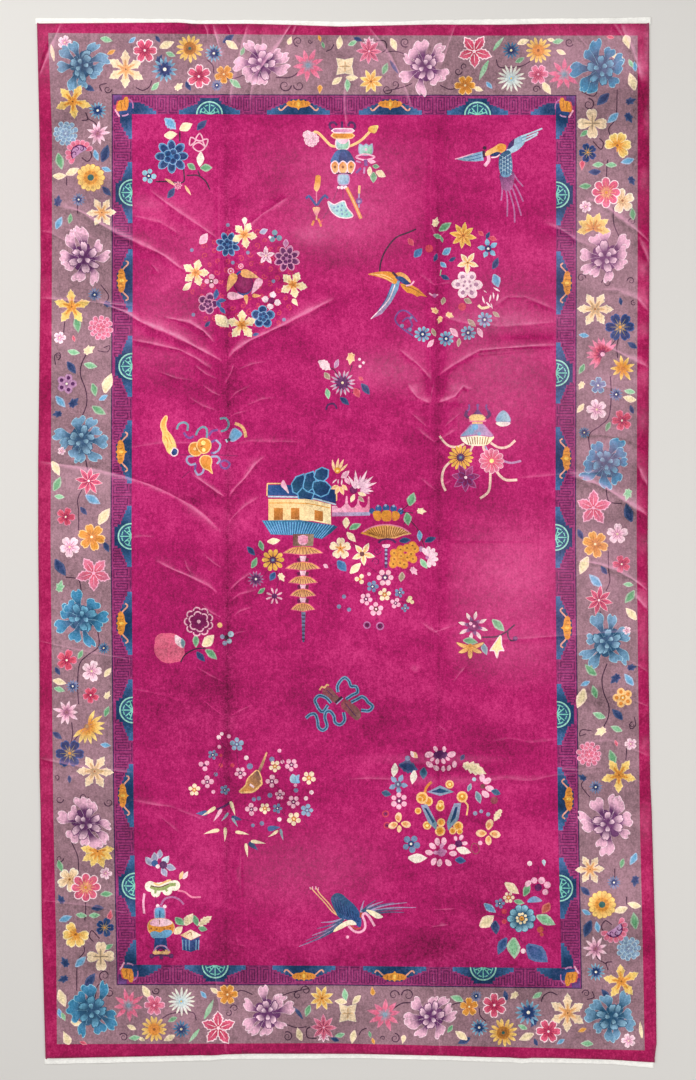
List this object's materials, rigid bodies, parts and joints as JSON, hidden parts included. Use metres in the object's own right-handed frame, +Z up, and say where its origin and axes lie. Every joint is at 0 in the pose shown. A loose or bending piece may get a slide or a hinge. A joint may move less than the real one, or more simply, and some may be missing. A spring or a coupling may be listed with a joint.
{
  "type": "chinese art deco rug",
  "caption": "Large hand-knotted wool pile rug with a magenta field, floral and key-fret borders and flat-woven ivory ends, lying flat on the floor.",
  "frame": {"origin": "on the floor, below the centre of the whole rug's bounding box", "axes": "+X across the rug to its right side, +Y along the rug to its top end, +Z up out of the pile"},
  "size_m": [3.105, 5.2549, 0.016],
  "materials": {
    "pile": "soft wool velvet pile",
    "woven_end": "matte flat-woven cotton"
  },
  "bodies": {
    "root": {"rug_body": "pile", "woven_end_top": "woven_end", "woven_end_bottom": "woven_end"}
  },
  "joints": []
}
